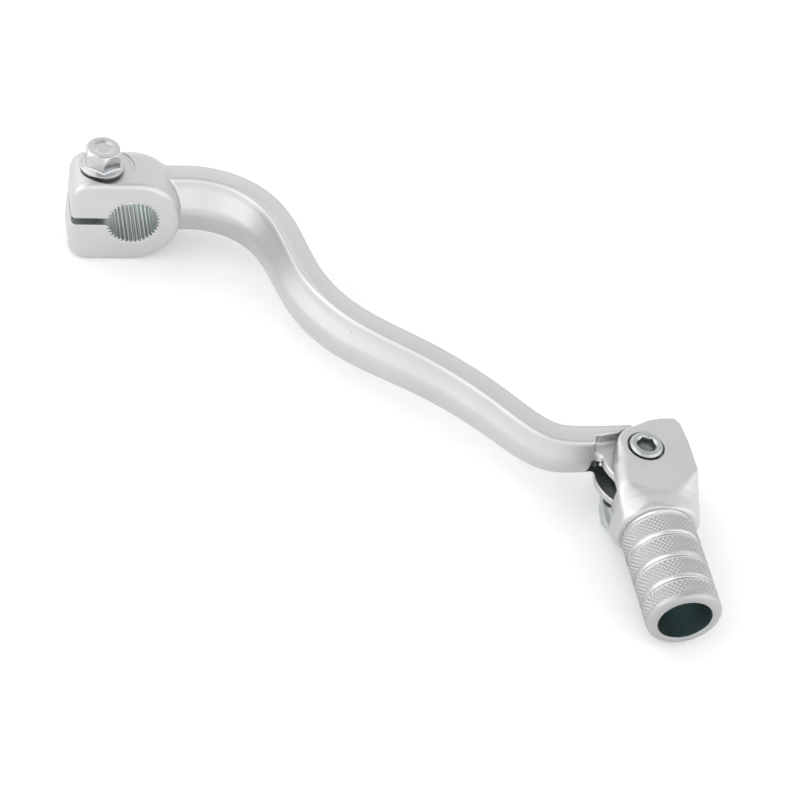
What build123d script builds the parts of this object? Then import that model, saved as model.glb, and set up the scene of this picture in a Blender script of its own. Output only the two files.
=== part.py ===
from build123d import *
import math
import os

# Motorcycle gear shift lever with a spring-loaded folding tip. Millimetres.
# Frame: the origin is on the axis of the splined shaft bore, at the middle of
# the clamp's width. +X runs along the lever towards the tip, +Y points inboard
# along the bore, and +Z is up, along the pinch bolt and the tip's pivot.
# The lever lies flat: the clamp and the tip body stand on one level.

# ---- driving dimensions ----------------------------------------------------
FLOOR_Z = -12.3                # underside of the clamp and of the tip body

# clamp end
HUB_RADIUS = 11.9
HUB_OFFSET = -0.4             # the boss sits a little off the bore, both ways
HUB_WIDTH = 15.0
HUB_LEFT_X = -14.9
HUB_CORNER = 4.5
HUB_FRONT_EDGE = 1.6           # rounding of the clamp's outer edges
HUB_BACK_EDGE = 4.0
SLIT_HEIGHT = 2.0
SLIT_END_X = -4.0              # the slit ends inside the bore
SPLINE_TEETH = 36
SPLINE_TIP_RADIUS = 5.85
SPLINE_ROOT_RADIUS = 6.5
GROOVE_MOUTH = 0.55            # width between two teeth at their tips
GROOVE_ROOT = 0.33             # and at the bottom
SPLINE_OVERLAP = 0.2           # how far each groove reaches into the bore
BORE_FRONT_CHAMFER = 0.35
BORE_BACK_CHAMFER = 1.2

# pinch bolt, M6 with a flanged 8 mm hexagon head
PINCH_X = -7.8
SPOTFACE_X = -6.5
SPOTFACE_RADIUS = 6.6
SPOTFACE_Z = 10.7
PINCH_RADIUS = 2.95
PINCH_WAIST_RADIUS = 1.9
PINCH_WAIST_HALF = 3.6         # necked where the shaft passes it
PINCH_TAPER = 0.7
PINCH_TIP_Z = -10.2
PINCH_HEAD_GAP = 0.8
PINCH_FLANGE_RADIUS = 5.4
PINCH_FLANGE_RIM = 0.6
PINCH_HEX_ACROSS = 8.0
PINCH_HEAD_HEIGHT = 5.5        # over the flange and the hexagon
PINCH_HEX_TURN = 29.0          # one corner faces outboard
PINCH_HEX_CHAMFER = 0.35
PINCH_END_CHAMFER = 0.6

# arm: heights at the clamp end and at the tip end, widths from its crease line
ARM_TOP = (7.2, 5.4)
ARM_PARTING = (-0.6, -0.6)
ARM_BOTTOM = (-8.9, -5.9)
ARM_RIB = (5.2, 5.1)           # top rib, from the crease to the inboard edge
ARM_FLARE = (4.0, 1.5)         # how far the outboard side stands out below it
ARM_STEP = 0.7                 # height of the crease
ARM_DRAFT = 2.2                # underside set back from the parting line
ARM_BACK_BULGE = 0.5
ARM_CREASE_LEAN = 0.3
ARM_BACK_DRAFT = 0.7
ARM_BOTTOM_ROUND = 1.6
ARM_TOP_ROUND = 1.0
ARM_STATIONS = 15
# crease line in plan: a level start, a steep run, a long diagonal, a level end
CREASE = (
    (4.0, 0.2),
    (18.0, 0.2),
    (28.6, -6.2),
    (33.6, -17.8),
    (36.8, -31.2),
    (44.4, -44.4),
    (60.8, -57.8),
    (76.6, -73.6),
    (88.0, -84.2),
    (98.0, -85.1),
    (104.0, -84.9),
)

# fold pivot
PIVOT_X = 108.4
PIVOT_Y = -87.0
LUG_RADIUS = 9.4
LUG_TOP = 2.5
LUG_BOTTOM = -7.0
LUG_RIGHT = 7.45               # flat that rests on the tip's stop wall
LUG_STOP_DEPTH = 5.5
LUG_ROUND_END = -2.0           # the large round ends this far left of the pivot
SLOT_TOP = 0.3                 # spring slot through the lug
SLOT_BOTTOM = -5.0
SLOT_END = -11.3
SLOT_BACK = 4.2
SPRING_CAVITY = 6.9
SHOULDER_RADIUS = 6.95         # end of the arm's rib, next to the tip
RELIEF_RADIUS = 11.3           # room for the tip's corner as it folds
RELIEF_BACK = 5.3

# tip body
TIP_TOP = 6.2
FORK_UPPER = 3.05              # underside of the upper fork plate
FORK_LOWER = -7.55             # upper side of the lower fork plate
TIP_LEFT = -8.9
TIP_RIGHT = 10.8
TIP_BACK = 8.8
TIP_END = -18.4
TIP_BACK_CORNER = (1.7, 1.8)
TIP_BACK_START = 4.0           # the back edge runs straight from here
TIP_WAIST = (0.6, -3.0)        # where the left side starts to curve in
TIP_LEFT_START = -9.0
PLATE_RADIUS = 6.6             # round end of the fork plates about the pivot
PLATE_START = 165.0
PLATE_END = 92.0
POCKET_RADIUS = 9.8
POCKET_RIGHT = 7.5
POCKET_LEFT = -7.0
POCKET_FRONT = -12.5
TIP_CORNER = 2.6               # rounding of its long left upper edge
TIP_LOWER_CORNER = 1.8
TIP_RIGHT_CORNER = 0.8
# collar sections: distance from the pivot, half width, half height
COLLAR = (
    (-18.4, 9.3, 8.6),
    (-17.4, 10.2, 8.6),
    (-14.4, 11.2, 8.6),
    (-9.5, 13.0, 11.1),
    (9.5, 26.0, 24.0),
)
HEAD_BORE_RADIUS = 4.25
HEAD_BORE_DEPTH = 1.6

# peg
PEG_Z = -2.3
PEG_RADIUS = 8.5
PEG_BORE_RADIUS = 6.1
PEG_START = -18.5
PEG_END = -43.5
PEG_PITCH = 6.2
PEG_GROOVE_WIDTH = 1.7
PEG_GROOVE_DEPTH = 0.55
PEG_BANDS = 4
PEG_RIM = 1.3
PEG_MOUTH = 0.5
SPIGOT_RADIUS = 6.08
SPIGOT_ROOT = -17.4            # the spigot starts inside the collar
SPIGOT_END = -27.0

# pivot hardware
BOLT_SHOULDER_RADIUS = 3.0
BOLT_HEAD_RADIUS = 3.9
BOLT_HEAD_PROUD = 0.8
BOLT_THREAD_RADIUS = 2.5
BOLT_SOCKET_ACROSS = 4.0
BOLT_SOCKET_DEPTH = 2.0
BOLT_END = -10.9
BOLT_HEAD_CHAMFER = 0.5
BUSH_INNER_RADIUS = 3.05
BUSH_OUTER_RADIUS = 4.2
SLEEVE_OUTER_RADIUS = 4.4
WASHER_RADIUS = 6.3
WASHER_THICKNESS = 0.5
SPRING_RADIUS = 5.9
SPRING_WIRE_RADIUS = 0.6
SPRING_PITCH = 1.35
SPRING_TURNS = 2 + 130 / 360
SPRING_LEG_ARM = 7.0
SPRING_LEG_TIP = 10.6
SPRING_NOTCH_WIDTH = 1.9
SPRING_NOTCH_END = -11.8

FIT = 0.05                     # radial clearance of fits and threads
CUT = 40.0                     # longer than any cut needs to be

os.makedirs("parts", exist_ok=True)


def save(piece, name):
    """Label one finished piece and write it as its own STEP file."""
    piece.part.label = name
    export_step(piece.part, f"parts/{name}.step")


def between(pair, share):
    """Value part of the way from the clamp end to the tip end."""
    return pair[0] + (pair[1] - pair[0]) * share


def at_pivot(height):
    """Horizontal plane at a height, centred on the fold pivot."""
    return Plane((PIVOT_X, PIVOT_Y, height))


def at_peg(y_position):
    """Upright plane across the peg, centred on its axis, facing outboard."""
    return Plane(
        origin=(PIVOT_X, PIVOT_Y + y_position, PEG_Z), x_dir=(1, 0, 0), z_dir=(0, -1, 0)
    )


# ---- lever body: clamp, arm and lug in one forging -------------------------
def arm_section(spine, share):
    """One cross-section of the arm, square to the crease line."""
    heading = spine % share
    inboard = Vector(-heading.Y, heading.X, 0)
    top = between(ARM_TOP, share)
    parting = between(ARM_PARTING, share)
    bottom = between(ARM_BOTTOM, share)
    rib = between(ARM_RIB, share)
    flare = between(ARM_FLARE, share)
    with BuildSketch(Plane(origin=spine @ share, x_dir=inboard, z_dir=heading)) as section:
        with BuildLine():
            Polyline(
                (0, top),
                (-ARM_CREASE_LEAN, top - ARM_STEP),
                (-flare, parting),
                (-flare + ARM_DRAFT, bottom),
                (rib - ARM_BACK_DRAFT, bottom),
                (rib + ARM_BACK_BULGE, parting),
                (rib, top),
                close=True,
            )
        make_face()
        fillet(section.vertices().sort_by(Axis.Y)[:2], ARM_BOTTOM_ROUND)
        fillet(section.vertices().group_by(Axis.Y)[-1].sort_by(Axis.X)[-1:], ARM_TOP_ROUND)
    return section.sketch


with BuildLine() as crease:
    Spline(*CREASE, tangents=((1, 0), (1, 0.05)))
spine = crease.line.edge()

with BuildPart() as lever_body:
    # clamp: a round boss squared off towards the pinch bolt
    with BuildSketch(Plane.XZ):
        with Locations((HUB_OFFSET, HUB_OFFSET)):
            Circle(HUB_RADIUS)
        with Locations(((HUB_LEFT_X + HUB_OFFSET) / 2, HUB_OFFSET)):
            Rectangle(HUB_OFFSET - HUB_LEFT_X, 2 * HUB_RADIUS)
    extrude(amount=HUB_WIDTH / 2, both=True)
    fillet(lever_body.edges().filter_by(Axis.Y).group_by(Axis.X)[0], HUB_CORNER)
    fillet(lever_body.faces().filter_by(Axis.Y).sort_by(Axis.Y)[0].edges(), HUB_FRONT_EDGE)
    fillet(lever_body.faces().filter_by(Axis.Y).sort_by(Axis.Y)[-1].edges(), HUB_BACK_EDGE)
    # arm
    for station in range(ARM_STATIONS):
        add(arm_section(spine, station / (ARM_STATIONS - 1)))
    loft()
    # lug about the fold pivot, larger on the side that shows
    with BuildSketch(at_pivot(LUG_BOTTOM)):
        Circle(LUG_RADIUS)
        with Locations((LUG_ROUND_END, 0)):
            Rectangle(CUT, CUT, align=(Align.MIN, Align.CENTER), mode=Mode.SUBTRACT)
        Circle(LUG_RIGHT)
        with Locations((LUG_RIGHT / 2, LUG_STOP_DEPTH / 2)):
            Rectangle(LUG_RIGHT, LUG_STOP_DEPTH)
    extrude(amount=LUG_TOP - LUG_BOTTOM)
    # clear the arm away where the tip's upper plate sits and sweeps
    with BuildSketch(at_pivot(LUG_TOP)):
        Circle(RELIEF_RADIUS)
        with Locations((0, RELIEF_BACK)):
            Rectangle(CUT, CUT, align=(Align.CENTER, Align.MIN), mode=Mode.SUBTRACT)
        Circle(SHOULDER_RADIUS)
    extrude(amount=CUT, mode=Mode.SUBTRACT)
    # spring slot, closed only where the arm joins the lug
    with BuildSketch(at_pivot(SLOT_BOTTOM)):
        Circle(SPRING_CAVITY)
        with Locations((SLOT_END, SLOT_BACK)):
            Rectangle(CUT, CUT, align=(Align.MIN, Align.MAX))
        Rectangle(CUT, CUT, align=(Align.MIN, Align.CENTER))
    extrude(amount=SLOT_TOP - SLOT_BOTTOM, mode=Mode.SUBTRACT)
    # bore for the pivot bushings
    with BuildSketch(at_pivot(LUG_BOTTOM)):
        Circle(BUSH_OUTER_RADIUS)
    extrude(amount=LUG_TOP - LUG_BOTTOM, mode=Mode.SUBTRACT)
    # shaft bore, its teeth left between 36 grooves
    with BuildSketch(Plane.XZ):
        Circle(SPLINE_TIP_RADIUS)
    extrude(amount=CUT, both=True, mode=Mode.SUBTRACT)
    with BuildSketch(Plane.XZ):
        with PolarLocations(SPLINE_TIP_RADIUS, SPLINE_TEETH):
            Polygon(
                (-SPLINE_OVERLAP, GROOVE_MOUTH / 2),
                (0, GROOVE_MOUTH / 2),
                (SPLINE_ROOT_RADIUS - SPLINE_TIP_RADIUS, GROOVE_ROOT / 2),
                (SPLINE_ROOT_RADIUS - SPLINE_TIP_RADIUS, -GROOVE_ROOT / 2),
                (0, -GROOVE_MOUTH / 2),
                (-SPLINE_OVERLAP, -GROOVE_MOUTH / 2),
                align=None,
            )
    extrude(amount=HUB_WIDTH, both=True, mode=Mode.SUBTRACT)
    # lead-in chamfers at both ends of the bore
    for side, lead_in in ((1, BORE_FRONT_CHAMFER), (-1, BORE_BACK_CHAMFER)):
        mouth_radius = SPLINE_ROOT_RADIUS + lead_in
        with BuildSketch(Plane.XZ.offset(side * HUB_WIDTH / 2)):
            Circle(mouth_radius)
        depth = mouth_radius - SPLINE_TIP_RADIUS
        extrude(amount=-side * depth, taper=45, mode=Mode.SUBTRACT)
    # slit from the squared end into the bore
    with BuildSketch(Plane.XZ):
        with Locations((SLIT_END_X, 0)):
            Rectangle(CUT, SLIT_HEIGHT, align=(Align.MAX, Align.CENTER))
    extrude(amount=HUB_WIDTH, both=True, mode=Mode.SUBTRACT)
    # pinch bolt hole and its spotface
    with BuildSketch(Plane.XY.offset(SPOTFACE_Z)):
        with Locations((SPOTFACE_X, 0)):
            Circle(SPOTFACE_RADIUS)
    extrude(amount=CUT, mode=Mode.SUBTRACT)
    with BuildSketch(Plane.XY.offset(-CUT / 2)):
        with Locations((PINCH_X, 0)):
            Circle(PINCH_RADIUS + FIT)
    extrude(amount=CUT, mode=Mode.SUBTRACT)
save(lever_body, "lever_body")

# ---- pinch bolt ------------------------------------------------------------
under_head_z = SPOTFACE_Z + PINCH_HEAD_GAP
flange_top_z = under_head_z + PINCH_FLANGE_RIM
with BuildPart() as pinch_bolt:
    with BuildSketch(Plane.XZ):
        with BuildLine():
            Polyline(
                (PINCH_X, PINCH_TIP_Z),
                (PINCH_X + PINCH_RADIUS - PINCH_END_CHAMFER, PINCH_TIP_Z),
                (PINCH_X + PINCH_RADIUS, PINCH_TIP_Z + PINCH_END_CHAMFER),
                (PINCH_X + PINCH_RADIUS, -PINCH_WAIST_HALF),
                (PINCH_X + PINCH_WAIST_RADIUS, -PINCH_WAIST_HALF + PINCH_TAPER),
                (PINCH_X + PINCH_WAIST_RADIUS, PINCH_WAIST_HALF - PINCH_TAPER),
                (PINCH_X + PINCH_RADIUS, PINCH_WAIST_HALF),
                (PINCH_X + PINCH_RADIUS, under_head_z),
                (PINCH_X + PINCH_FLANGE_RADIUS, under_head_z),
                (PINCH_X + PINCH_FLANGE_RADIUS, flange_top_z),
                (PINCH_X + PINCH_HEX_ACROSS / 2, flange_top_z + PINCH_TAPER),
                (PINCH_X, flange_top_z + PINCH_TAPER),
                close=True,
            )
        make_face()
    revolve(axis=Axis((PINCH_X, 0, 0), (0, 0, 1)))
    with BuildSketch(Plane.XY.offset(flange_top_z)):
        with Locations((PINCH_X, 0)):
            RegularPolygon(PINCH_HEX_ACROSS / 2, 6, major_radius=False, rotation=PINCH_HEX_TURN)
    extrude(amount=PINCH_HEAD_HEIGHT - PINCH_FLANGE_RIM)
    chamfer(pinch_bolt.faces().sort_by(Axis.Z)[-1].edges(), PINCH_HEX_CHAMFER)
save(pinch_bolt, "pinch_bolt")

# ---- tip body: fork, collar and spigot -------------------------------------
# envelope of the collar, where the block necks down to the peg
with BuildPart() as collar:
    for distance, half_width, half_height in COLLAR:
        with BuildSketch(at_peg(distance)):
            Ellipse(half_width, half_height)
    loft(ruled=True)


def on_left_side(edge):
    """True for the edges along the tip's left side."""
    return edge.center().X < PIVOT_X - LUG_STOP_DEPTH and edge.center().Y < PIVOT_Y


with BuildPart() as tip_body:
    # plan outline, round about the pivot at its back left corner
    with BuildSketch(at_pivot(FLOOR_Z)):
        with BuildLine():
            round_end = CenterArc((0, 0), PLATE_RADIUS, PLATE_START, PLATE_END - PLATE_START)
            Polyline(
                round_end @ 1,
                (TIP_BACK_START, TIP_BACK),
                (TIP_RIGHT - TIP_BACK_CORNER[0], TIP_BACK),
                (TIP_RIGHT, TIP_BACK - TIP_BACK_CORNER[1]),
                (TIP_RIGHT, TIP_END),
                (TIP_LEFT, TIP_END),
                (TIP_LEFT, TIP_LEFT_START),
                (TIP_LEFT + TIP_WAIST[0], TIP_WAIST[1]),
                round_end @ 0,
            )
        make_face()
    extrude(amount=TIP_TOP - FLOOR_Z)
    top_edges = tip_body.faces().sort_by(Axis.Z)[-1].edges()
    fillet(top_edges.filter_by(on_left_side), TIP_CORNER)
    low_edges = tip_body.faces().sort_by(Axis.Z)[0].edges()
    fillet(low_edges.filter_by(on_left_side), TIP_LOWER_CORNER)
    right_edge = tip_body.faces().sort_by(Axis.Z)[-1].edges().sort_by(Axis.X)[-1]
    fillet(right_edge, TIP_RIGHT_CORNER)
    add(collar.part, mode=Mode.INTERSECT)
    # fork pocket, open at the back and on the left
    with BuildSketch(at_pivot(FORK_LOWER)):
        Circle(POCKET_RADIUS)
        Rectangle(2 * POCKET_RADIUS, CUT, align=(Align.CENTER, Align.MIN))
        with Locations((POCKET_LEFT, POCKET_FRONT)):
            Rectangle(CUT, CUT, align=(Align.MAX, Align.MIN))
        with Locations((POCKET_RIGHT, 0)):
            Rectangle(CUT, 2 * CUT, align=(Align.MIN, Align.CENTER), mode=Mode.SUBTRACT)
        with Locations((SPRING_RADIUS, SPRING_NOTCH_END)):
            Rectangle(SPRING_NOTCH_WIDTH, -SPRING_NOTCH_END, align=(Align.CENTER, Align.MIN))
    extrude(amount=FORK_UPPER - FORK_LOWER, mode=Mode.SUBTRACT)
    # pivot bolt: head recess, shoulder hole, threaded hole
    with BuildSketch(at_pivot(TIP_TOP - HEAD_BORE_DEPTH)):
        Circle(HEAD_BORE_RADIUS)
    extrude(amount=CUT, mode=Mode.SUBTRACT)
    with BuildSketch(at_pivot(FORK_UPPER)):
        Circle(BOLT_SHOULDER_RADIUS + FIT)
    extrude(amount=CUT, mode=Mode.SUBTRACT)
    with BuildSketch(at_pivot(FORK_LOWER)):
        Circle(BOLT_THREAD_RADIUS + FIT)
    extrude(amount=-CUT, mode=Mode.SUBTRACT)
    # spigot that carries the peg
    with BuildSketch(at_peg(SPIGOT_ROOT)):
        Circle(SPIGOT_RADIUS)
    extrude(amount=SPIGOT_ROOT - SPIGOT_END)
save(tip_body, "tip_body")

# ---- peg sleeve ------------------------------------------------------------
with BuildPart() as peg_sleeve:
    with BuildSketch(at_peg(PEG_START)):
        Circle(PEG_RADIUS)
        Circle(PEG_BORE_RADIUS, mode=Mode.SUBTRACT)
    extrude(amount=PEG_START - PEG_END)
    peg_mouth = peg_sleeve.faces().sort_by(Axis.Y)[0].edges()
    fillet(peg_mouth.sort_by(SortBy.RADIUS)[-1], PEG_RIM)
    mouth_edge = peg_sleeve.faces().sort_by(Axis.Y)[0].edges().sort_by(SortBy.RADIUS)[0]
    chamfer(mouth_edge, PEG_MOUTH)
    # a smooth groove at the start of each knurled band
    for band in range(PEG_BANDS):
        with BuildSketch(at_peg(PEG_START - band * PEG_PITCH)):
            Circle(2 * PEG_RADIUS)
            Circle(PEG_RADIUS - PEG_GROOVE_DEPTH, mode=Mode.SUBTRACT)
        extrude(amount=PEG_GROOVE_WIDTH, mode=Mode.SUBTRACT)
save(peg_sleeve, "peg_sleeve")

# ---- pivot bolt ------------------------------------------------------------
head_seat_z = TIP_TOP - HEAD_BORE_DEPTH
with BuildPart() as pivot_bolt:
    with BuildSketch(at_pivot(BOLT_END)):
        Circle(BOLT_THREAD_RADIUS)
    extrude(amount=head_seat_z - BOLT_END)
    with BuildSketch(at_pivot(FORK_LOWER)):
        Circle(BOLT_SHOULDER_RADIUS)
    extrude(amount=head_seat_z - FORK_LOWER)
    with BuildSketch(at_pivot(head_seat_z)):
        Circle(BOLT_HEAD_RADIUS)
    extrude(amount=TIP_TOP + BOLT_HEAD_PROUD - head_seat_z)
    chamfer(pivot_bolt.faces().sort_by(Axis.Z)[-1].edges(), BOLT_HEAD_CHAMFER)
    with BuildSketch(at_pivot(TIP_TOP + BOLT_HEAD_PROUD)):
        RegularPolygon(BOLT_SOCKET_ACROSS / 2, 6, major_radius=False)
    extrude(amount=-BOLT_SOCKET_DEPTH, mode=Mode.SUBTRACT)
save(pivot_bolt, "pivot_bolt")


# ---- bushings, spacer and washers on the pivot bolt ------------------------
def ring(bottom, top, outer, inner):
    """A plain ring about the fold pivot."""
    with BuildPart() as piece:
        with BuildSketch(at_pivot(bottom)):
            Circle(outer)
            Circle(inner, mode=Mode.SUBTRACT)
        extrude(amount=top - bottom)
    return piece


save(ring(SLOT_TOP, LUG_TOP, BUSH_OUTER_RADIUS, BUSH_INNER_RADIUS), "upper_bushing")
save(ring(LUG_BOTTOM, SLOT_BOTTOM, BUSH_OUTER_RADIUS, BUSH_INNER_RADIUS), "lower_bushing")
save(
    ring(SLOT_BOTTOM + FIT, SLOT_TOP - FIT, SLEEVE_OUTER_RADIUS, BUSH_INNER_RADIUS),
    "spring_spacer",
)
save(
    ring(LUG_TOP + FIT / 2, LUG_TOP + WASHER_THICKNESS, WASHER_RADIUS, BUSH_INNER_RADIUS),
    "upper_thrust_washer",
)
save(
    ring(LUG_BOTTOM - WASHER_THICKNESS, LUG_BOTTOM - FIT / 2, WASHER_RADIUS, BUSH_INNER_RADIUS),
    "lower_thrust_washer",
)

# ---- torsion spring: a short coil with one leg on the arm, one on the tip --
spring_height = SPRING_TURNS * SPRING_PITCH
spring_low = (SLOT_TOP + SLOT_BOTTOM - spring_height) / 2
with BuildPart() as torsion_spring:
    with BuildLine() as coil:
        Helix(SPRING_PITCH, spring_height, SPRING_RADIUS, center=(PIVOT_X, PIVOT_Y, spring_low))
    with BuildSketch(Plane(origin=coil.line @ 0, z_dir=coil.line % 0)):
        Circle(SPRING_WIRE_RADIUS)
    sweep(path=coil.line, is_frenet=True)
    # straight legs, carried on from both ends of the coil
    with BuildSketch(Plane(origin=coil.line @ 0, z_dir=-(coil.line % 0))):
        Circle(SPRING_WIRE_RADIUS)
    extrude(amount=SPRING_LEG_TIP)
    with BuildSketch(Plane(origin=coil.line @ 1, z_dir=coil.line % 1)):
        Circle(SPRING_WIRE_RADIUS)
    extrude(amount=SPRING_LEG_ARM)
save(torsion_spring, "torsion_spring")
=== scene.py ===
import math
import bpy
import numpy as np
import openvdb
from mathutils import Matrix, Vector


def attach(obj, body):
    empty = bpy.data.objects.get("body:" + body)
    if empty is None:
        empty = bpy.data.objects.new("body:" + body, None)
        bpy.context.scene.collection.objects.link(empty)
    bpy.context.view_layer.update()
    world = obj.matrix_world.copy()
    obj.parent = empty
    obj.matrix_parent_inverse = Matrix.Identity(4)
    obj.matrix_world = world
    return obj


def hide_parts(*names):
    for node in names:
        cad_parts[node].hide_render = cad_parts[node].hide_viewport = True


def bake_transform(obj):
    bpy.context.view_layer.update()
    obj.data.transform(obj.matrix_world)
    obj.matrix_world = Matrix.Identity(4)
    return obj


# Gear shift lever with a folding tip. The shapes are worked out in
# millimetres in the row frame and written to the meshes in metres.

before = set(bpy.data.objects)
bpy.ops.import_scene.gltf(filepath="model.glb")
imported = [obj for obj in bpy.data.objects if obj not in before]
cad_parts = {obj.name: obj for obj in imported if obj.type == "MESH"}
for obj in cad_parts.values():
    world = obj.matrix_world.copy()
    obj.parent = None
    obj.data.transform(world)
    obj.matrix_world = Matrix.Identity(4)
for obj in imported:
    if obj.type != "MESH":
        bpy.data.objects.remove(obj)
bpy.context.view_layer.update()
MM = 0.001
F32 = np.float32

PIVOT = (108.4, -87.0)
FLOOR_Z = -12.3
HUB_CENTRE = -0.4                # the boss is this far off the bore, both ways
HUB_RADIUS = 11.9
HUB_HALF_WIDTH = 7.5
HUB_LEFT = -14.9
HUB_CORNER = 4.5
BORE_TIP = 5.85
BORE_ROOT = 6.5
BORE_FRONT_MOUTH = 6.6
BORE_BACK_MOUTH = 7.7
TEETH = 36                       # divisions of the serration; the slit takes two
SLIT_END, SLIT_HALF_GAP = -4.0, 1.0
SPOTFACE_X, SPOTFACE_RADIUS, SPOTFACE_Z = -6.5, 6.6, 10.7
PINCH_HOLE = 3.0
PINCH_X = -7.8
PINCH_TOP = 17.0
SEAT_Z = 11.5                    # underside of the pinch bolt's flange
PARTING_Z = -0.6
ARM_START_X, ARM_END_X = 4.0, 107.4
LUG_RADIUS = 9.4
LUG_SMALL_RADIUS = 7.45
LUG_TOP, LUG_BOTTOM = 2.5, -7.0
SLOT_TOP, SLOT_BOTTOM = 0.3, -5.0
SHOULDER_RADIUS = 6.95
RELIEF_RADIUS = 11.3
NOTCH_BACK = 4.1                 # back edge of the notch, inboard of the pivot
NOTCH_BEND, NOTCH_SLOPE = -9.3, 0.2  # past this x the edge slopes away from the pivot
TIP_TOP = 6.2
FORK_UPPER, FORK_LOWER = 3.05, -7.55
POCKET_RADIUS = 9.8
PEG_Z = -2.3
PEG_START, PEG_END = 18.5, 43.5  # distances outboard of the pivot
PEG_PITCH = 6.2
PEG_HOLLOW = 6.1
PEG_RADIUS, GROOVE_RADIUS = 8.5, 7.95


# ---- shape tools -----------------------------------------------------------
def rmax(a, b, r):
    """Intersection of two distances, its edge rounded to radius r."""
    return np.minimum(np.maximum(a, b), -r) + np.hypot(np.maximum(a + r, 0), np.maximum(b + r, 0))


def rmin(a, b, r):
    """Union of two distances, with a fillet of radius r."""
    return np.maximum(np.minimum(a, b), r) - np.hypot(np.maximum(r - a, 0), np.maximum(r - b, 0))


def cut(a, b, r):
    """a with b removed, its edge rounded to radius r."""
    return rmax(a, -b, r)


def ramp(value, low, high):
    """Smooth step from 0 at low to 1 at high."""
    share = np.clip((value - low) / (high - low), 0, 1)
    return share * share * (3 - 2 * share)


def slab(value, low, high):
    """Distance to the layer between two heights."""
    return np.abs(value - (low + high) / 2) - (high - low) / 2


def rect(x, y, x0, x1, y0, y1, r=0.0):
    """Distance to a rectangle in plan with corner radius r."""
    qx = np.abs(x - (x0 + x1) / 2) - (x1 - x0) / 2 + r
    qy = np.abs(y - (y0 + y1) / 2) - (y1 - y0) / 2 + r
    return np.hypot(np.maximum(qx, 0), np.maximum(qy, 0)) + np.minimum(np.maximum(qx, qy), 0) - r


def polygon(x, y, points):
    """Exact signed distance to a closed polygon in plan."""
    best = np.full(np.broadcast(x, y).shape, 1e9, F32)
    inside = np.zeros(best.shape, bool)
    count = len(points)
    for i in range(count):
        ax, ay = points[i]
        bx, by = points[(i + 1) % count]
        ex, ey = bx - ax, by - ay
        wx, wy = x - ax, y - ay
        share = np.clip((wx * ex + wy * ey) / (ex * ex + ey * ey), 0, 1)
        best = np.minimum(best, (wx - ex * share) ** 2 + (wy - ey * share) ** 2)
        if ey != 0:
            crossing = (ay > y) != (by > y)
            inside ^= crossing & (x < ex * (y - ay) / ey + ax)
    return np.sqrt(best) * np.where(inside, -1, 1)


def rounded(points):
    """Closed outline with each corner (x, y, radius) rounded."""
    out = []
    count = len(points)
    for i in range(count):
        here = np.array(points[i][:2], float)
        radius = points[i][2]
        back = np.array(points[i - 1][:2], float) - here
        ahead = np.array(points[(i + 1) % count][:2], float) - here
        back /= np.linalg.norm(back)
        ahead /= np.linalg.norm(ahead)
        if radius == 0:
            out.append(tuple(here))
            continue
        half = math.acos(np.clip(back @ ahead, -1, 1)) / 2
        middle = here + (back + ahead) / np.linalg.norm(back + ahead) * radius / math.sin(half)
        start = here + back * radius / math.tan(half) - middle
        end = here + ahead * radius / math.tan(half) - middle
        for k in range(7):
            spoke = start * (1 - k / 6) + end * (k / 6)
            out.append(tuple(middle + spoke / np.linalg.norm(spoke) * radius))
    return out


def finish_mesh(name, verts, faces, smooth=True):
    """Mesh object from vertices in millimetres."""
    mesh = bpy.data.meshes.new(name)
    mesh.from_pydata((np.asarray(verts, float) * MM).tolist(), [], faces)
    mesh.validate()
    mesh.polygons.foreach_set("use_smooth", [smooth] * len(mesh.polygons))
    mesh.update()
    obj = bpy.data.objects.new(name, mesh)
    bpy.context.scene.collection.objects.link(obj)
    return obj


def from_distance(name, shape, low, high, step, keep=None, tile=16.0):
    """Mesh of the surface where shape(x, y, z) is 0, settled on it and given its exact normals."""
    grid = openvdb.FloatGrid(4.0)
    grid.transform = openvdb.createLinearTransform(step)
    size = int(round(tile / step))
    i0 = [int(math.floor(v / step)) for v in low]
    i1 = [int(math.ceil(v / step)) for v in high]
    z = (np.arange(i0[2], i1[2] + 1) * step).astype(F32)[None, None, :]
    for i in range(i0[0], i1[0] + 1, size):
        for j in range(i0[1], i1[1] + 1, size):
            x = (np.arange(i, min(i + size, i1[0] + 1)) * step).astype(F32)[:, None, None]
            y = (np.arange(j, min(j + size, i1[1] + 1)) * step).astype(F32)[None, :, None]
            if keep is not None and not keep(x.mean(), y.mean(), tile * 0.71):
                continue
            full = shape(x + 0 * y, y + 0 * x, z)
            grid.copyFromArray(np.ascontiguousarray(full.astype(F32)), ijk=(i, j, i0[2]))
    points, triangles, quads = grid.convertToPolygons(isovalue=0.0, adaptivity=0.0)
    p = points.astype(float)

    def slope(q, d=0.02):
        """Unit gradient of the shape at points."""
        g = np.stack([
            shape(q[:, 0] + d, q[:, 1], q[:, 2]) - shape(q[:, 0] - d, q[:, 1], q[:, 2]),
            shape(q[:, 0], q[:, 1] + d, q[:, 2]) - shape(q[:, 0], q[:, 1] - d, q[:, 2]),
            shape(q[:, 0], q[:, 1], q[:, 2] + d) - shape(q[:, 0], q[:, 1], q[:, 2] - d),
        ], axis=1)
        return g / np.maximum(np.linalg.norm(g, axis=1, keepdims=True), 1e-9)

    for _ in range(2):
        away = shape(p[:, 0], p[:, 1], p[:, 2])
        p -= slope(p) * np.clip(away, -step / 2, step / 2)[:, None]
    normals = slope(p, 0.04)
    faces = [tuple(int(v) for v in q) for q in quads] + [tuple(int(v) for v in t) for t in triangles]
    obj = finish_mesh(name, p, faces)
    mesh = obj.data
    first = mesh.polygons[0]
    if Vector(first.normal) @ Vector(normals[first.vertices[0]]) < 0:
        mesh.flip_normals()
    if len(mesh.vertices) == len(normals):
        mesh.normals_split_custom_set_from_vertices(normals.tolist())
    return obj


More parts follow.
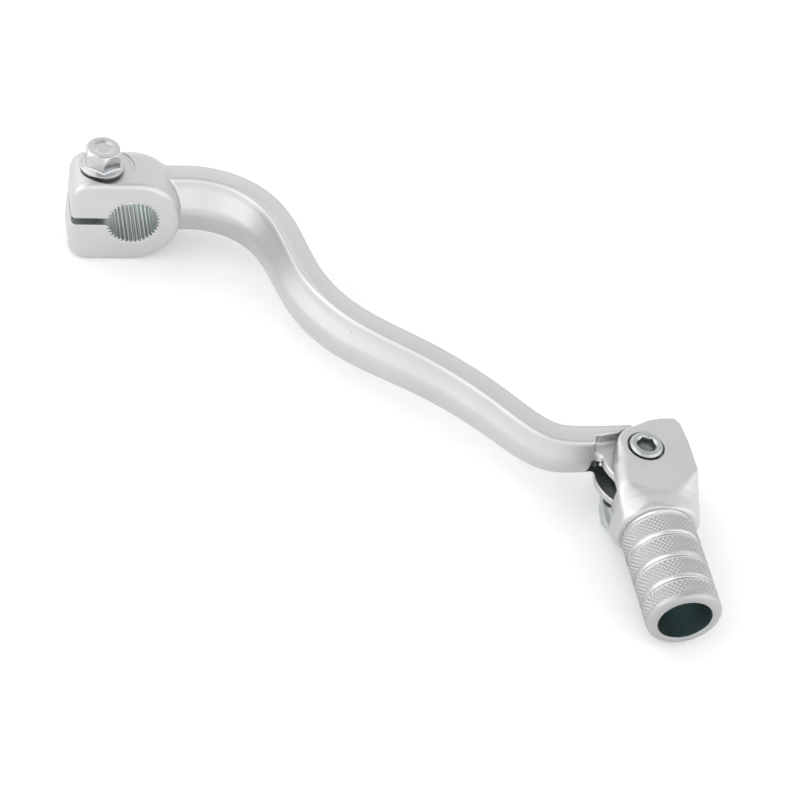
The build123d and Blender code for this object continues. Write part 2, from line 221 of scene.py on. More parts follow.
# ---- the arm's crease line in plan -----------------------------------------
CREASE = np.array([
    (4.0, 0.2), (18.0, 0.2), (28.6, -6.2), (33.6, -17.8), (36.8, -31.2), (44.4, -44.4),
    (60.8, -57.8), (76.6, -73.6), (88.0, -84.2), (98.0, -85.1), (104.0, -84.9),
])


def smooth_line(points, first, last, samples):
    """Cubic spline through the points with set end directions, sampled evenly in its parameter."""
    knots = np.concatenate([[0], np.cumsum(np.linalg.norm(np.diff(points, axis=0), axis=1))])
    count = len(points)
    matrix = np.zeros((count, count))
    right = np.zeros((count, 2))
    matrix[0, 0] = matrix[-1, -1] = 1
    right[0], right[-1] = first, last
    gap = np.diff(knots)
    for i in range(1, count - 1):
        matrix[i, i - 1] = gap[i]
        matrix[i, i] = 2 * (gap[i - 1] + gap[i])
        matrix[i, i + 1] = gap[i - 1]
        right[i] = 3 * (gap[i - 1] * (points[i + 1] - points[i]) / gap[i]
                        + gap[i] * (points[i] - points[i - 1]) / gap[i - 1])
    slopes = np.linalg.solve(matrix, right)
    u = np.linspace(0, knots[-1], samples)
    k = np.clip(np.searchsorted(knots, u) - 1, 0, count - 2)
    h = gap[k][:, None]
    t = ((u - knots[k]) / gap[k])[:, None]
    return ((2 * t**3 - 3 * t**2 + 1) * points[k] + (t**3 - 2 * t**2 + t) * h * slopes[k]
            + (-2 * t**3 + 3 * t**2) * points[k + 1] + (t**3 - t**2) * h * slopes[k + 1])


LINE = smooth_line(CREASE, np.array((1.0, 0.0)), np.array((1.0, 0.05)), 900)
HEADING = np.gradient(LINE, axis=0)
HEADING /= np.linalg.norm(HEADING, axis=1, keepdims=True)
ALONG = np.concatenate([[0], np.cumsum(np.linalg.norm(np.diff(LINE, axis=0), axis=1))])
ALONG /= ALONG[-1]


def beside(x, y):
    """(distance inboard of the crease line, share of the way along it) for points in plan."""
    flat_x, flat_y = np.ravel(x).astype(F32), np.ravel(y).astype(F32)
    s = np.empty(flat_x.shape, F32)
    t = np.empty(flat_x.shape, F32)
    lx, ly = LINE[:, 0].astype(F32), LINE[:, 1].astype(F32)
    for a in range(0, len(flat_x), 20000):
        px, py = flat_x[a:a + 20000, None], flat_y[a:a + 20000, None]
        near = np.argmin((px - lx) ** 2 + (py - ly) ** 2, axis=1)
        dx, dy = px[:, 0] - LINE[near, 0], py[:, 0] - LINE[near, 1]
        hx, hy = HEADING[near, 0], HEADING[near, 1]
        ahead = dx * hx + dy * hy
        s[a:a + 20000] = -hy * dx + hx * dy
        t[a:a + 20000] = ALONG[near] + ahead / 163.0
    return s.reshape(np.shape(x)), t.reshape(np.shape(x))


# ---- lever body ------------------------------------------------------------
def mix(a, b, t):
    """Value part of the way from a to b."""
    return a + (b - a) * t


def lever_shape(x, y, z):
    """Distance to the forged lever: clamp, arm and pivot lug."""
    s, t = beside(x, y)
    share = np.clip(t, 0, 1)
    top = mix(7.2, 5.4, share)
    parting = PARTING_Z
    bottom = mix(-8.9, -5.9, share)
    width = mix(5.2, 5.1, share)
    flare = mix(4.0, 1.5, share)
    # the crease is crisp on the level start and on the diagonal, and fades in the steep run
    fade = ramp(t, 0.10, 0.20) * (1 - ramp(t, 0.36, 0.46))
    step = mix(0.7, 0.25, fade)
    edge = mix(0.35, 1.6, fade)
    back = s - width - 0.5 + 0.5 * np.clip((z - parting) / 7.0, 0, 1)
    back = back + 1.2 * np.clip((parting - z) / 8.0, 0, 1) ** 2
    crown = z - top + 0.06 * np.maximum(s - 1.0, 0) ** 2 * 0.8
    rib = rmax(crown, -s - 0.3 * np.clip((top - z) / step, 0, 1), edge)
    rib = rmax(rib, back, 1.9)
    rib = rmax(rib, bottom + 3 - z, 0.8)
    run = flare - 0.3
    rise = top - step - parting
    length = np.hypot(run, rise)
    face = (-(s + 0.3) * rise + (z - top + step) * run) / length
    drop = parting - bottom
    under = (-(s + flare) * drop - (z - parting) * 2.2) / np.hypot(drop, 2.2)
    web = rmax(face, under, 1.1)
    web = rmax(web, back, 1.2)
    web = rmax(web, bottom - z, 1.6)
    web = rmax(web, z - top + 0.2, 0.1)
    arm = rmin(rib, web, 0.9)
    # the arm starts inside the clamp and ends over the lug
    arm = np.maximum(arm, ARM_START_X - x)
    arm = rmax(arm, x - ARM_END_X, 0.5)
    # clamp
    right = np.hypot(x - HUB_CENTRE, z - HUB_CENTRE) - HUB_RADIUS
    qz = np.abs(z - HUB_CENTRE) - (HUB_RADIUS - HUB_CORNER)
    qx = (HUB_LEFT + HUB_CORNER) - x
    outside = np.hypot(np.maximum(qz, 0), np.maximum(qx, 0))
    left = outside + np.minimum(np.maximum(qz, qx), 0) - HUB_CORNER
    disc = np.where(x > HUB_CENTRE, right, left)
    hub = rmax(rmax(disc, -y - HUB_HALF_WIDTH, 1.3), y - HUB_HALF_WIDTH, 4.0)
    body = rmin(hub, arm, 0.8)
    body = np.where(x < 16, np.maximum(body, -y - HUB_HALF_WIDTH), body)
    # lug
    at_lug = x > 85
    lx, ly = x - PIVOT[0], y - PIVOT[1]
    radius = np.hypot(lx, ly)
    plan = np.minimum(np.maximum(radius - LUG_RADIUS, lx + 2.0), radius - LUG_SMALL_RADIUS)
    plan = np.minimum(plan, rect(lx, ly, 0, LUG_SMALL_RADIUS, 0, 5.5, 0.3))
    lug = rmax(plan, slab(z, LUG_BOTTOM, LUG_TOP), 0.45)
    body = np.where(at_lug, rmin(body, lug, 1.2), body)
    # room for the tip's plate above the lug
    back_edge = ly - NOTCH_BACK - NOTCH_SLOPE * np.maximum(lx - NOTCH_BEND, 0)
    notch = rmax(radius - RELIEF_RADIUS, back_edge, 0.6)
    swing = np.minimum(notch, radius - SHOULDER_RADIUS)
    room = rmax(swing, LUG_TOP - z, 0.8)
    body = np.where(at_lug, cut(body, room, 0.9), body)
    # slot for the spring's coil and its leg, and the hole through the lug
    gap = np.minimum(radius - 6.9, rect(lx, ly, -11.3, 40, -40, 4.2, 0.8))
    gap = np.minimum(gap, rect(lx, ly, 0, 40, -20, 20, 0.4))
    slot = rmax(gap, slab(z, SLOT_BOTTOM, SLOT_TOP), 0.4)
    body = np.where(at_lug, cut(body, slot, 0.3), body)
    body = np.where(at_lug, np.maximum(body, 4.2 - radius), body)
    # shaft bore with a chamfer at each end, slit, spotface and bolt hole
    bore_r = np.hypot(x, z)
    front_mouth = bore_r - BORE_FRONT_MOUTH + (y + HUB_HALF_WIDTH)
    back_mouth = bore_r - BORE_BACK_MOUTH - (y - HUB_HALF_WIDTH)
    bore = np.minimum(bore_r - BORE_ROOT, np.minimum(front_mouth, back_mouth))
    at_hub = x < 30
    body = np.where(at_hub, np.maximum(body, -bore), body)
    slit = np.maximum(slab(z, -SLIT_HALF_GAP, SLIT_HALF_GAP), x - SLIT_END)
    body = np.where(at_hub, cut(body, slit, 0.22), body)
    spotface = rmax(np.hypot(x - SPOTFACE_X, y) - SPOTFACE_RADIUS, SPOTFACE_Z - z, 0.4)
    body = np.where(at_hub, cut(body, spotface, 0.2), body)
    hole_r = np.hypot(x - PINCH_X, y)
    body = np.where(at_hub, np.maximum(body, PINCH_HOLE - hole_r), body)
    return body


def near_lever(x, y, reach):
    """True where a tile of the plan can hold some of the lever."""
    gap = np.min(np.hypot(LINE[:, 0] - x, LINE[:, 1] - y))
    hub_gap = math.hypot(x, y)
    lug_gap = math.hypot(x - PIVOT[0], y - PIVOT[1])
    return gap < reach + 8.5 or hub_gap < reach + 17.5 or lug_gap < reach + 11


lever = from_distance(
    "lever_forging", lever_shape, (-16, -99, -13.3), (118, 9, 12.6), 0.2, near_lever, 12.0
)


# ---- teeth of the shaft bore -----------------------------------------------
def bore_teeth():
    """Ring of teeth rooted in the bore's wall, without the two that the slit takes away."""
    tip_r, root_r, outer_r = BORE_TIP, 6.47, 6.62
    outline = []
    for k in range(TEETH):
        middle = 2 * math.pi * (k + 0.5) / TEETH
        if abs(middle - math.pi) < math.radians(8.6):
            continue
        half_tip, half_base = 0.14 / tip_r, 0.49 / root_r
        outline.append((middle - half_base, root_r))
        outline.append((middle - half_tip, tip_r))
        outline.append((middle + half_tip, tip_r))
        outline.append((middle + half_base, root_r))
    slit_turn = math.asin(1.05 / root_r)
    inner = [p for p in outline if p[0] < math.pi - slit_turn]
    inner.append((math.pi - slit_turn, root_r))
    other = [p for p in outline if p[0] > math.pi + slit_turn]
    other.insert(0, (math.pi + slit_turn, root_r))
    # start at the lower side of the slit and go round through 0
    ring = [(a - 2 * math.pi, r) for a, r in other] + inner
    verts, faces = [], []
    stations = ((-7.44, 0.08), (-7.36, 0.0), (5.65, 0.0), (6.28, 0.63))
    count = len(ring)
    for y, lift in stations:
        for a, r in ring:
            rr = min(r + lift, root_r + 0.02)
            verts.append((rr * math.cos(a), y, rr * math.sin(a)))
    for y, _ in stations:
        for a, _r in ring:
            verts.append((outer_r * math.cos(a), y, outer_r * math.sin(a)))
    rows = len(stations)
    shift = rows * count
    for row in range(rows - 1):
        for k in range(count - 1):
            a = row * count + k
            faces.append((a, a + 1, a + 1 + count, a + count))
            b = shift + a
            faces.append((b, b + count, b + count + 1, b + 1))
        a, b = row * count, (row + 1) * count
        faces.append((a, b, shift + b, shift + a))
        a, b = row * count + count - 1, (row + 1) * count + count - 1
        faces.append((a, shift + a, shift + b, b))
    for k in range(count - 1):
        faces.append((k, shift + k, shift + k + 1, k + 1))
        a = (rows - 1) * count + k
        faces.append((a, a + 1, shift + a + 1, shift + a))
    return finish_mesh("bore_teeth", verts, faces, smooth=False)


teeth = bore_teeth()


# ---- tip body --------------------------------------------------------------
PLATE_RADIUS = 6.6
arc = [
    (PLATE_RADIUS * math.cos(math.radians(a)), PLATE_RADIUS * math.sin(math.radians(a)), 0)
    for a in range(173, 96, -8)
]
TIP_PLAN = rounded(arc + [
    (0.0, 7.0, 1.5), (2.6, 8.2, 4.0), (5.4, 8.75, 6.0), (9.1, 8.75, 0.9), (10.2, 7.1, 0.9),
    (10.75, 1.5, 6.0), (10.75, -18.4, 0),
    (-8.9, -18.4, 0), (-8.9, -9.0, 6.0), (-8.2, -4.0, 4.0),
])


def tip_shape(x, y, z):
    """Distance to the tip body: fork, collar and spigot."""
    lx, ly = x - PIVOT[0], y - PIVOT[1]
    plan = polygon(lx, ly, TIP_PLAN)
    left = ramp(-lx, -3.0, 4.0) * ramp(-ly, -3.0, 3.0)
    body = rmax(plan, z - TIP_TOP, 0.7 + 2.1 * left)
    body = rmax(body, FLOOR_Z - z, 0.8 + 1.2 * left)
    # collar: an elliptical cone that narrows to the peg
    width = np.interp(-ly, (-9.5, 9.5, 14.4, 17.4, 18.4), (26.0, 13.0, 11.2, 10.2, 9.3))
    height = np.interp(-ly, (-9.5, 9.5, 10.4, 12.5, 14.5, 18.4), (24.0, 11.1, 10.5, 9.2, 8.55, 8.5))
    ex, ez = lx / width, (z - PEG_Z) / height
    k0 = np.hypot(ex, ez)
    k1 = np.hypot(ex / width, ez / height)
    cone = k0 * (k0 - 1) / np.maximum(k1, 1e-6)
    body = rmax(body, cone, 0.6)
    radius = np.hypot(lx, ly)
    # fork pocket, with a groove for the spring's leg
    pocket = np.minimum(radius - POCKET_RADIUS, rect(lx, ly, -POCKET_RADIUS, POCKET_RADIUS, 0, 40))
    pocket = np.minimum(pocket, rect(lx, ly, -40, -7.0, -12.5, 40))
    pocket = np.maximum(pocket, lx - 7.5)
    pocket = np.minimum(pocket, rect(lx, ly, 4.95, 6.85, -11.8, 0))
    body = cut(body, rmax(pocket, slab(z, FORK_LOWER, FORK_UPPER), 0.4), 0.3)
    # bolt head recess and holes
    body = cut(body, rmax(radius - 4.25, 4.6 - z, 0.2), 0.35)
    body = np.maximum(body, -np.maximum(radius - 3.05, 3.0 - z))
    body = np.maximum(body, -np.maximum(radius - 2.55, z + 7.0))
    # spigot
    around = np.hypot(lx, z - PEG_Z)
    spigot = rmax(around - 6.08, slab(-ly, 17.4, 27.0), 0.5)
    spigot = cut(spigot, rmax(around - 2.1, 25.5 + ly, 0.4), 0.3)
    return np.minimum(body, spigot)


tip = from_distance("tip_forging", tip_shape, (98.6, -115.2, -13.1), (120.2, -78.0, 7.1), 0.15)


# ---- peg sleeve with its knurled bands -------------------------------------
def peg():
    """Hollow sleeve: four diamond-knurled bands parted by smooth grooves."""
    count = 432
    knurls = 48
    axial = 1.12
    y_outer = np.arange(PEG_START, 42.2, 0.11)
    turn = np.linspace(0, 2 * math.pi, count, endpoint=False)
    rows = []
    for y in y_outer:
        into = (y - PEG_START) % PEG_PITCH
        band = ramp(into, 0.7, 1.8)
        in_last_band = y > PEG_START + 3 * PEG_PITCH
        if not in_last_band:
            band = band * (1 - ramp(into, 6.05, PEG_PITCH))
        radius = GROOVE_RADIUS + (PEG_RADIUS - GROOVE_RADIUS) * band
        ends = 1 - ramp(y, 41.8, 42.3) if in_last_band else 1 - ramp(into, 5.8, 6.05)
        strength = ramp(into, 1.75, 2.0) * ends
        u = turn * knurls / (2 * math.pi)
        first = np.abs((u + y / axial) - np.round(u + y / axial))
        other = np.abs((u - y / axial) - np.round(u - y / axial))
        depth = np.maximum(np.clip(1 - first / 0.3, 0, 1), np.clip(1 - other / 0.3, 0, 1))
        rows.append((np.full(count, y), radius - 0.25 * strength * depth))
    for k in range(1, 10):
        a = math.radians(90 * k / 9)
        rows.append((np.full(count, 42.2 + 1.3 * math.sin(a)), np.full(count, 7.2 + 1.3 * math.cos(a))))
    for y, radius in ((PEG_END, 6.2), (43.46, 6.13)):
        rows.append((np.full(count, y), np.full(count, radius)))
    for y in (43.3, 42.9, 36.0, 30.0, 27.0, 22.0, PEG_START):
        rows.append((np.full(count, y), np.full(count, PEG_HOLLOW)))
    verts = []
    for y, radius in rows:
        x = PIVOT[0] + radius * np.cos(turn)
        z = PEG_Z + radius * np.sin(turn)
        verts.append(np.stack([x, PIVOT[1] - y, z], axis=1))
    verts = np.concatenate(verts)
    faces = []
    total = len(rows)
    for i in range(total):
        a, b = i * count, ((i + 1) % total) * count
        for k in range(count):
            n = (k + 1) % count
            faces.append((a + k, a + n, b + n, b + k))
    return finish_mesh("knurled_peg", verts, faces)


peg_obj = peg()


# ---- bolts -----------------------------------------------------------------
def hexagon(x, y, across, turn):
    """Distance to a hexagon about the origin."""
    best = None
    for k in range(3):
        a = turn + k * math.pi / 3
        side = np.abs(x * math.cos(a) + y * math.sin(a)) - across / 2
        best = side if best is None else np.maximum(best, side)
    return best


def thread(radius, x, y, z, size, pitch, depth):
    """Distance to a threaded rod."""
    phase = z / pitch - np.arctan2(y, x) / (2 * math.pi)
    saw = np.abs(phase - np.round(phase)) * 2
    return radius - size + depth * saw


def pinch_shape(x, y, z):
    """Distance to the flanged pinch bolt."""
    px, py = x - PINCH_X, y
    radius = np.hypot(px, py)
    seat = SEAT_Z
    flange = rmax(radius - 5.4, seat - z, 0.12)
    flange = rmax(flange, (z - seat - 0.75) * 0.94 + (radius - 5.2) * 0.34, 0.15)
    head = rmax(hexagon(px, py, 8.0, math.radians(59)), z - seat - 5.5, 0.12)
    head = rmax(head, (z - PINCH_TOP) * 0.5 + (radius - 3.8) * 0.866, 0.2)
    head = np.maximum(head, seat + 0.1 - z)
    dish = (radius - 2.6) * 0.3 + (PINCH_TOP - z)
    head = np.maximum(head, -np.maximum(dish, 16.75 - z))
    bolt = rmin(head, flange, 0.35)
    neck = np.where(np.abs(z) < 3.6, radius - 1.9, thread(radius, px, py, z, 2.93, 1.0, 0.5))
    neck = np.where(z > 7.5, radius - 2.9, neck)
    neck = rmax(neck, slab(z, -10.2, seat + 0.5), 0.3)
    return np.minimum(bolt, neck)


pinch = from_distance("pinch_bolt_head", pinch_shape, (-13.7, -5.9, -10.8), (-1.9, 5.9, 17.6), 0.09)


def pivot_shape(x, y, z):
    """Distance to the pivot bolt, with its hexagon socket."""
    px, py = x - PIVOT[0], y - PIVOT[1]
    radius = np.hypot(px, py)
    head = rmax(radius - 3.9, slab(z, 4.6, 7.0), 0.12)
    head = rmax(head, (z - 7.0) * 0.71 + (radius - 3.35) * 0.71, 0.15)
    shoulder = rmax(radius - 3.0, slab(z, -7.55, 4.9), 0.2)
    screw = rmax(thread(radius, px, py, z, 2.5, 0.8, 0.35), slab(z, -10.9, -7.0), 0.2)
    bolt = np.minimum(np.minimum(head, shoulder), screw)
    socket = rmax(hexagon(px, py, 4.0, math.radians(10)), 4.9 - z, 0.1)
    socket = np.minimum(socket, (radius - 2.55 - (z - 7.0)) * 0.71)
    drill = np.maximum((radius - 1.7) * 0.5 - (z - 4.9) * 0.87, z - 5.0)
    return cut(bolt, np.minimum(socket, drill), 0.08)


pivot = from_distance("pivot_screw", pivot_shape, (104.1, -91.3, -11.4), (112.7, -82.7, 7.4), 0.08)


# ---- torsion spring --------------------------------------------------------
def spring():
    """Coil with a straight leg at each end, as one round wire."""
    wire, radius, pitch = 0.6, 5.9, 1.35
    turns = 2 + 130 / 360
    height = turns * pitch
    low = (SLOT_TOP + SLOT_BOTTOM - height) / 2
    angle = np.linspace(0, turns * 2 * math.pi, 150)
    coil = np.stack([
        PIVOT[0] + radius * np.cos(angle),
        PIVOT[1] + radius * np.sin(angle),
        low + pitch * angle / (2 * math.pi),
    ], axis=1)
    into = coil[1] - coil[0]
    into /= np.linalg.norm(into)
    out = coil[-1] - coil[-2]
    out /= np.linalg.norm(out)
    path = [coil[0] - into * d for d in (10.6, 10.3, 5.0, 1.0)]
    path += list(coil)
    path += [coil[-1] + out * d for d in (1.0, 4.0, 6.7, 7.0)]
    path = np.array(path)
    scale = np.ones(len(path))
    scale[0] = scale[-1] = 0.6
    sides = 20
    verts, faces = [], []
    heading = np.gradient(path, axis=0)
    heading /= np.linalg.norm(heading, axis=1, keepdims=True)
    for p, h, k in zip(path, heading, scale):
        side = np.cross(h, (0, 0, 1))
        side /= np.linalg.norm(side)
        up = np.cross(side, h)
        for j in range(sides):
            a = 2 * math.pi * j / sides
            verts.append(p + wire * k * (math.cos(a) * side + math.sin(a) * up))
    for i in range(len(path) - 1):
        for j in range(sides):
            n = (j + 1) % sides
            faces.append((i * sides + j, i * sides + n, (i + 1) * sides + n, (i + 1) * sides + j))
    faces.append(tuple(range(sides - 1, -1, -1)))
    last = (len(path) - 1) * sides
    faces.append(tuple(last + j for j in range(sides)))
    return finish_mesh("torsion_spring_wire", verts, faces), low, height


spring_obj, spring_low, spring_height = spring()


# ---- materials -------------------------------------------------------------
def nodes_of(name):
    """New node material, its tree and its shader."""
    mat = bpy.data.materials.new(name)
    mat.use_nodes = True
    tree = mat.node_tree
    return mat, tree, tree.nodes["Principled BSDF"]


def add(tree, kind, **values):
    """New node with its inputs set by name."""
    node = tree.nodes.new(kind)
    for key, value in values.items():
        if key in node.inputs:
            node.inputs[key].default_value = value
        else:
            setattr(node, key, value)
    return node


def tone(tree, source, spots):
    """Colour ramp fed by a value: spots are (position, grey or colour)."""
    node = tree.nodes.new("ShaderNodeValToRGB")
    elements = node.color_ramp.elements
    while len(elements) < len(spots):
        elements.new(0.5)
    for element, (position, colour) in zip(elements, spots):
        element.position = position
        rgb = colour if isinstance(colour, tuple) else (colour,) * 3
        element.color = (*rgb, 1)
    tree.links.new(source, node.inputs["Fac"])
    return node


def metal(name, dark, light, rough, grain, bump, patch=70.0, pits=False, metallic=1.0):
    """Metal with a fine grain in its surface and slow changes of tone."""
    mat, tree, shader = nodes_of(name)
    link = tree.links.new
    where = tree.nodes.new("ShaderNodeTexCoord").outputs["Object"]
    fine = add(tree, "ShaderNodeTexNoise", Scale=grain, Detail=3.0, Roughness=0.6)
    link(where, fine.inputs["Vector"])
    slow = add(tree, "ShaderNodeTexNoise", Scale=patch, Detail=2.0)
    link(where, slow.inputs["Vector"])
    both = add(tree, "ShaderNodeMath", operation="MULTIPLY_ADD")
    link(fine.outputs["Fac"], both.inputs[0])
    both.inputs[1].default_value = 0.5
    half = add(tree, "ShaderNodeMath", operation="MULTIPLY")
    link(slow.outputs["Fac"], half.inputs[0])
    half.inputs[1].default_value = 0.5
    link(half.outputs[0], both.inputs[2])
    colour = tone(tree, both.outputs[0], ((0.32, dark), (0.68, light)))
    out = colour.outputs["Color"]
    if pits:
        cells = add(tree, "ShaderNodeTexVoronoi", Scale=210.0)
        link(where, cells.inputs["Vector"])
        spot = tone(tree, cells.outputs["Distance"], ((0.035, 0.0), (0.07, 1.0)))
        pick = tone(tree, cells.outputs["Color"], ((0.80, 1.0), (0.83, 0.0)))
        worn = add(tree, "ShaderNodeMath", operation="MAXIMUM")
        link(spot.outputs["Color"], worn.inputs[0])
        link(pick.outputs["Color"], worn.inputs[1])
        dot = tone(tree, worn.outputs[0], ((0.0, 0.80), (1.0, 1.0)))
        mixer = add(tree, "ShaderNodeMix", data_type="RGBA", blend_type="MULTIPLY")
        mixer.inputs["Factor"].default_value = 1.0
        link(out, mixer.inputs["A"])
        link(dot.outputs["Color"], mixer.inputs["B"])
        out = mixer.outputs["Result"]
    link(out, shader.inputs["Base Color"])
    shader.inputs["Metallic"].default_value = metallic
    dull = tone(tree, fine.outputs["Fac"], ((0.3, rough - 0.06), (0.7, rough + 0.06)))
    link(dull.outputs["Color"], shader.inputs["Roughness"])
    relief = add(tree, "ShaderNodeBump", Strength=bump, Distance=0.00008)
    link(fine.outputs["Fac"], relief.inputs["Height"])
    link(relief.outputs["Normal"], shader.inputs["Normal"])
    return mat


blasted = metal(
    "blasted aluminium", (0.57, 0.57, 0.565), (0.62, 0.62, 0.615), 0.42, 2600.0, 0.22, pits=True
)
# finer grain of a bored surface, with a darker greenish colour that is painted shade on inner faces:
# the bore, its teeth, the slit, the fork pocket, the spigot and the lower fork plate's left wall
bored_and_shaded = metal("bore-finish aluminium, painted shade", (0.49, 0.53, 0.52), (0.59, 0.63, 0.62), 0.42, 1500.0, 0.15)
machined = metal("machined aluminium", (0.74, 0.74, 0.75), (0.82, 0.82, 0.83), 0.26, 1800.0, 0.10)
plated = metal("bright zinc plate", (0.47, 0.48, 0.49), (0.60, 0.61, 0.62), 0.16, 900.0, 0.10)
dark_steel = metal("polished steel", (0.40, 0.42, 0.42), (0.52, 0.54, 0.54), 0.24, 1100.0, 0.08)
spring_steel = metal("drawn spring wire", (0.56, 0.57, 0.58), (0.68, 0.69, 0.70), 0.30, 1500.0, 0.12)
knurled = metal("knurled aluminium", (0.42, 0.42, 0.425), (0.50, 0.50, 0.505), 0.42, 1800.0, 0.15)
# painted shade: the peg's inside is coloured darker and greenish where shade falls
hollow = metal("peg hollow, painted shade", (0.32, 0.42, 0.42), (0.40, 0.50, 0.50), 0.35, 1500.0, 0.1)
# painted shade: near-black colour for the spring slot's inner faces and the pivot screw's socket
shaded = metal("painted slot shade", (0.20, 0.235, 0.225), (0.28, 0.31, 0.30), 0.5, 1300.0, 0.15)
bronze = metal("sintered bronze", (0.42, 0.27, 0.13), (0.62, 0.42, 0.22), 0.45, 1700.0, 0.25)


def paint(obj, mat, body):
    """Gives a piece its material and the body it rides."""
    obj.data.materials.clear()
    obj.data.materials.append(mat)
    if body:
        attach(obj, body)
    return obj


def second(obj, mat, test):
    """Gives the faces whose centre passes the test another material; this sets real finishes and also
    painted shade.
    """
    obj.data.materials.append(mat)
    count = len(obj.data.polygons)
    centre = np.empty(count * 3)
    obj.data.polygons.foreach_get("center", centre)
    centre = centre.reshape(-1, 3) / MM
    index = np.empty(count, np.int32)
    obj.data.polygons.foreach_get("material_index", index)
    index[test(centre[:, 0], centre[:, 1], centre[:, 2])] = len(obj.data.materials) - 1
    obj.data.polygons.foreach_set("material_index", index)


paint(lever, blasted, "lever")
# painted shade inside the shaft bore and on the slit's walls
second(lever, bored_and_shaded, lambda x, y, z: (
    ((x < 20) & (np.hypot(x, z) < 6.56) & (np.abs(y) < 7.3))
    | ((x < -4) & (np.abs(z) < 1.02) & (y > -7.2) & (x > -14.6))
))
# painted shade on the faces inside the spring slot
second(lever, shaded, lambda x, y, z: (
    (x > PIVOT[0] - 11.3) & (y < PIVOT[1] + 4.2) & (z < 0.35) & (z > -5.05)
    & ((np.hypot(x - PIVOT[0], y - PIVOT[1]) < 9.3) | (x < PIVOT[0] - 9.0))
))
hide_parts("lever_body")
# painted shade on the teeth inside the bore; their front faces keep the blasted colour
paint(teeth, bored_and_shaded, "lever")
second(teeth, blasted, lambda x, y, z: y < -7.38)
paint(tip, blasted, "tip")
# painted shade inside the fork pocket and on the spigot under the peg
second(tip, bored_and_shaded, lambda x, y, z: (
    ((np.hypot(x - PIVOT[0], y - PIVOT[1]) < 9.9) & (z < 3.04) & (z > -7.54) & (x - PIVOT[0] < 7.6))
    | (y < PIVOT[1] - 18.6)
))
# painted shade on the lower fork plate's left wall, which lies in shadow under the lug
second(tip, bored_and_shaded, lambda x, y, z: (
    (x < PIVOT[0] - 4.5) & (z < -7.4) & (z > -11.9) & (y > PIVOT[1] - 13.0) & (y < PIVOT[1] + 3.0)
))
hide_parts("tip_body")
paint(peg_obj, machined, "tip")
# painted shade inside the peg's hollow
second(peg_obj, hollow, lambda x, y, z: np.hypot(x - PIVOT[0], z - PEG_Z) < 6.15)
second(peg_obj, knurled, lambda x, y, z: (
    ((np.hypot(x - PIVOT[0], z - PEG_Z) > 7.8) & (y > PIVOT[1] - 42.3)
     & ((PIVOT[1] - PEG_START - y) % PEG_PITCH > 1.75))
    | ((y < PIVOT[1] - 42.2) & (np.hypot(x - PIVOT[0], z - PEG_Z) > 6.15))
))
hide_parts("peg_sleeve")
paint(pinch, plated, "lever")
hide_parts("pinch_bolt")
paint(pivot, dark_steel, "tip")
# painted shade deep in the pivot screw's socket
second(pivot, shaded, lambda x, y, z: (z < 6.5) & (np.hypot(x - PIVOT[0], y - PIVOT[1]) < 2.4))
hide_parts("pivot_bolt")
spring_obj.data.materials.append(spring_steel)
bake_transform(spring_obj)
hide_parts("torsion_spring")
for node, mat in (
    ("upper_bushing", bronze), ("lower_bushing", bronze), ("spring_spacer", plated),
    ("upper_thrust_washer", plated), ("lower_thrust_washer", plated),
):
    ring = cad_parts[node]
    ring.data.materials.clear()
    ring.data.materials.append(mat)

# ---- floor, light and camera -----------------------------------------------
floor_mesh = bpy.data.meshes.new("floor")
reach = 3.0
floor_mesh.from_pydata(
    [(-reach, -reach, 0), (reach, -reach, 0), (reach, reach, 0), (-reach, reach, 0)], [], [(0, 1, 2, 3)]
)
floor = bpy.data.objects.new("floor", floor_mesh)
floor.location = (0.05, -0.05, FLOOR_Z * MM)
bpy.context.scene.collection.objects.link(floor)
paper, paper_tree, paper_shader = nodes_of("white paper")
paper_shader.inputs["Roughness"].default_value = 0.9
paper_shader.inputs["Specular IOR Level"].default_value = 0.0
paper_shader.inputs["Emission Color"].default_value = (1.0, 1.0, 1.0, 1.0)
paper_shader.inputs["Emission Strength"].default_value = 0.04
fibre = add(paper_tree, "ShaderNodeTexNoise", Scale=900.0)
paper_tone = tone(paper_tree, fibre.outputs["Fac"], ((0.3, 0.93), (0.7, 0.95)))
paper_tree.links.new(paper_tone.outputs["Color"], paper_shader.inputs["Base Color"])
floor.data.materials.append(paper)


def softbox(name, centre, target, width, height, watts):
    """Rectangular light aimed at a point."""
    light = bpy.data.lights.new(name, "AREA")
    light.shape = "RECTANGLE"
    light.size = width
    light.size_y = height
    light.energy = watts
    obj = bpy.data.objects.new(name, light)
    obj.location = centre
    obj.rotation_euler = (Vector(target) - Vector(centre)).to_track_quat("-Z", "Y").to_euler()
    bpy.context.scene.collection.objects.link(obj)


aim = (0.05, -0.05, 0.0)
softbox("key", (-0.35, 0.30, 0.95), aim, 0.55, 0.55, 0.6)
softbox("front fill", (-0.55, -0.75, 0.45), aim, 0.7, 0.5, 0.5)

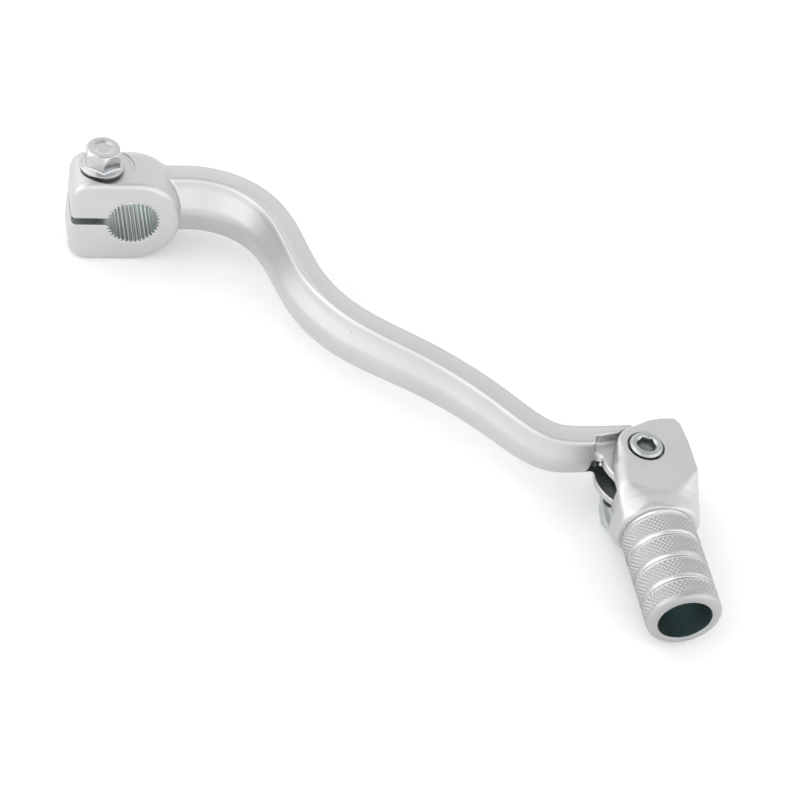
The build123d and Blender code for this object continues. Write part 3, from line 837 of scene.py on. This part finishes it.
# a white room, brighter in a few wide patches of wall
world = bpy.data.worlds.new("studio")
bpy.context.scene.world = world
world.use_nodes = True
sky = world.node_tree
backdrop = sky.nodes["Background"]
direction = sky.nodes.new("ShaderNodeTexCoord")
total = None
for toward, strength in (
    ((-1.0, 0.0, 0.25), 1.77), ((0.0, -1.0, 0.25), 0.55), ((0.7, -0.7, 0.3), 0.83),
    ((1.0, 0.0, 0.25), 0.64), ((0.0, 1.0, 0.3), 0.74),
):
    facing = add(sky, "ShaderNodeVectorMath", operation="DOT_PRODUCT")
    sky.links.new(direction.outputs["Generated"], facing.inputs[0])
    facing.inputs[1].default_value = Vector(toward).normalized()
    front_half = add(sky, "ShaderNodeMath", operation="MAXIMUM")
    sky.links.new(facing.outputs["Value"], front_half.inputs[0])
    front_half.inputs[1].default_value = 0.0
    patch = add(sky, "ShaderNodeMath", operation="POWER")
    sky.links.new(front_half.outputs[0], patch.inputs[0])
    patch.inputs[1].default_value = 3.0
    summed = add(sky, "ShaderNodeMath", operation="MULTIPLY_ADD")
    sky.links.new(patch.outputs[0], summed.inputs[0])
    summed.inputs[1].default_value = strength
    if total is None:
        summed.inputs[2].default_value = 0.52
    else:
        sky.links.new(total, summed.inputs[2])
    total = summed.outputs[0]
backdrop.inputs["Color"].default_value = (1.0, 1.0, 1.0, 1.0)
sky.links.new(total, backdrop.inputs["Strength"])

camera_data = bpy.data.cameras.new("camera")
camera_data.sensor_width = 36.0
camera_data.lens = 103.365
camera_data.clip_start = 0.01
camera_data.clip_end = 20.0
camera = bpy.data.objects.new("camera", camera_data)
behind = np.array([-0.243, -0.666, 0.706])
behind /= np.linalg.norm(behind)
across = np.array([0.970, -0.171, 0.173])
across -= behind * (across @ behind)
across /= np.linalg.norm(across)
up = np.cross(behind, across)
pose = Matrix.Identity(4)
for row in range(3):
    pose[row][0], pose[row][1], pose[row][2] = across[row], up[row], behind[row]
pose.translation = Vector((-71.994, -416.244, 370.699)) * MM
camera.matrix_world = pose
bpy.context.scene.collection.objects.link(camera)
bpy.context.scene.camera = camera
bpy.context.scene.view_settings.view_transform = "Standard"
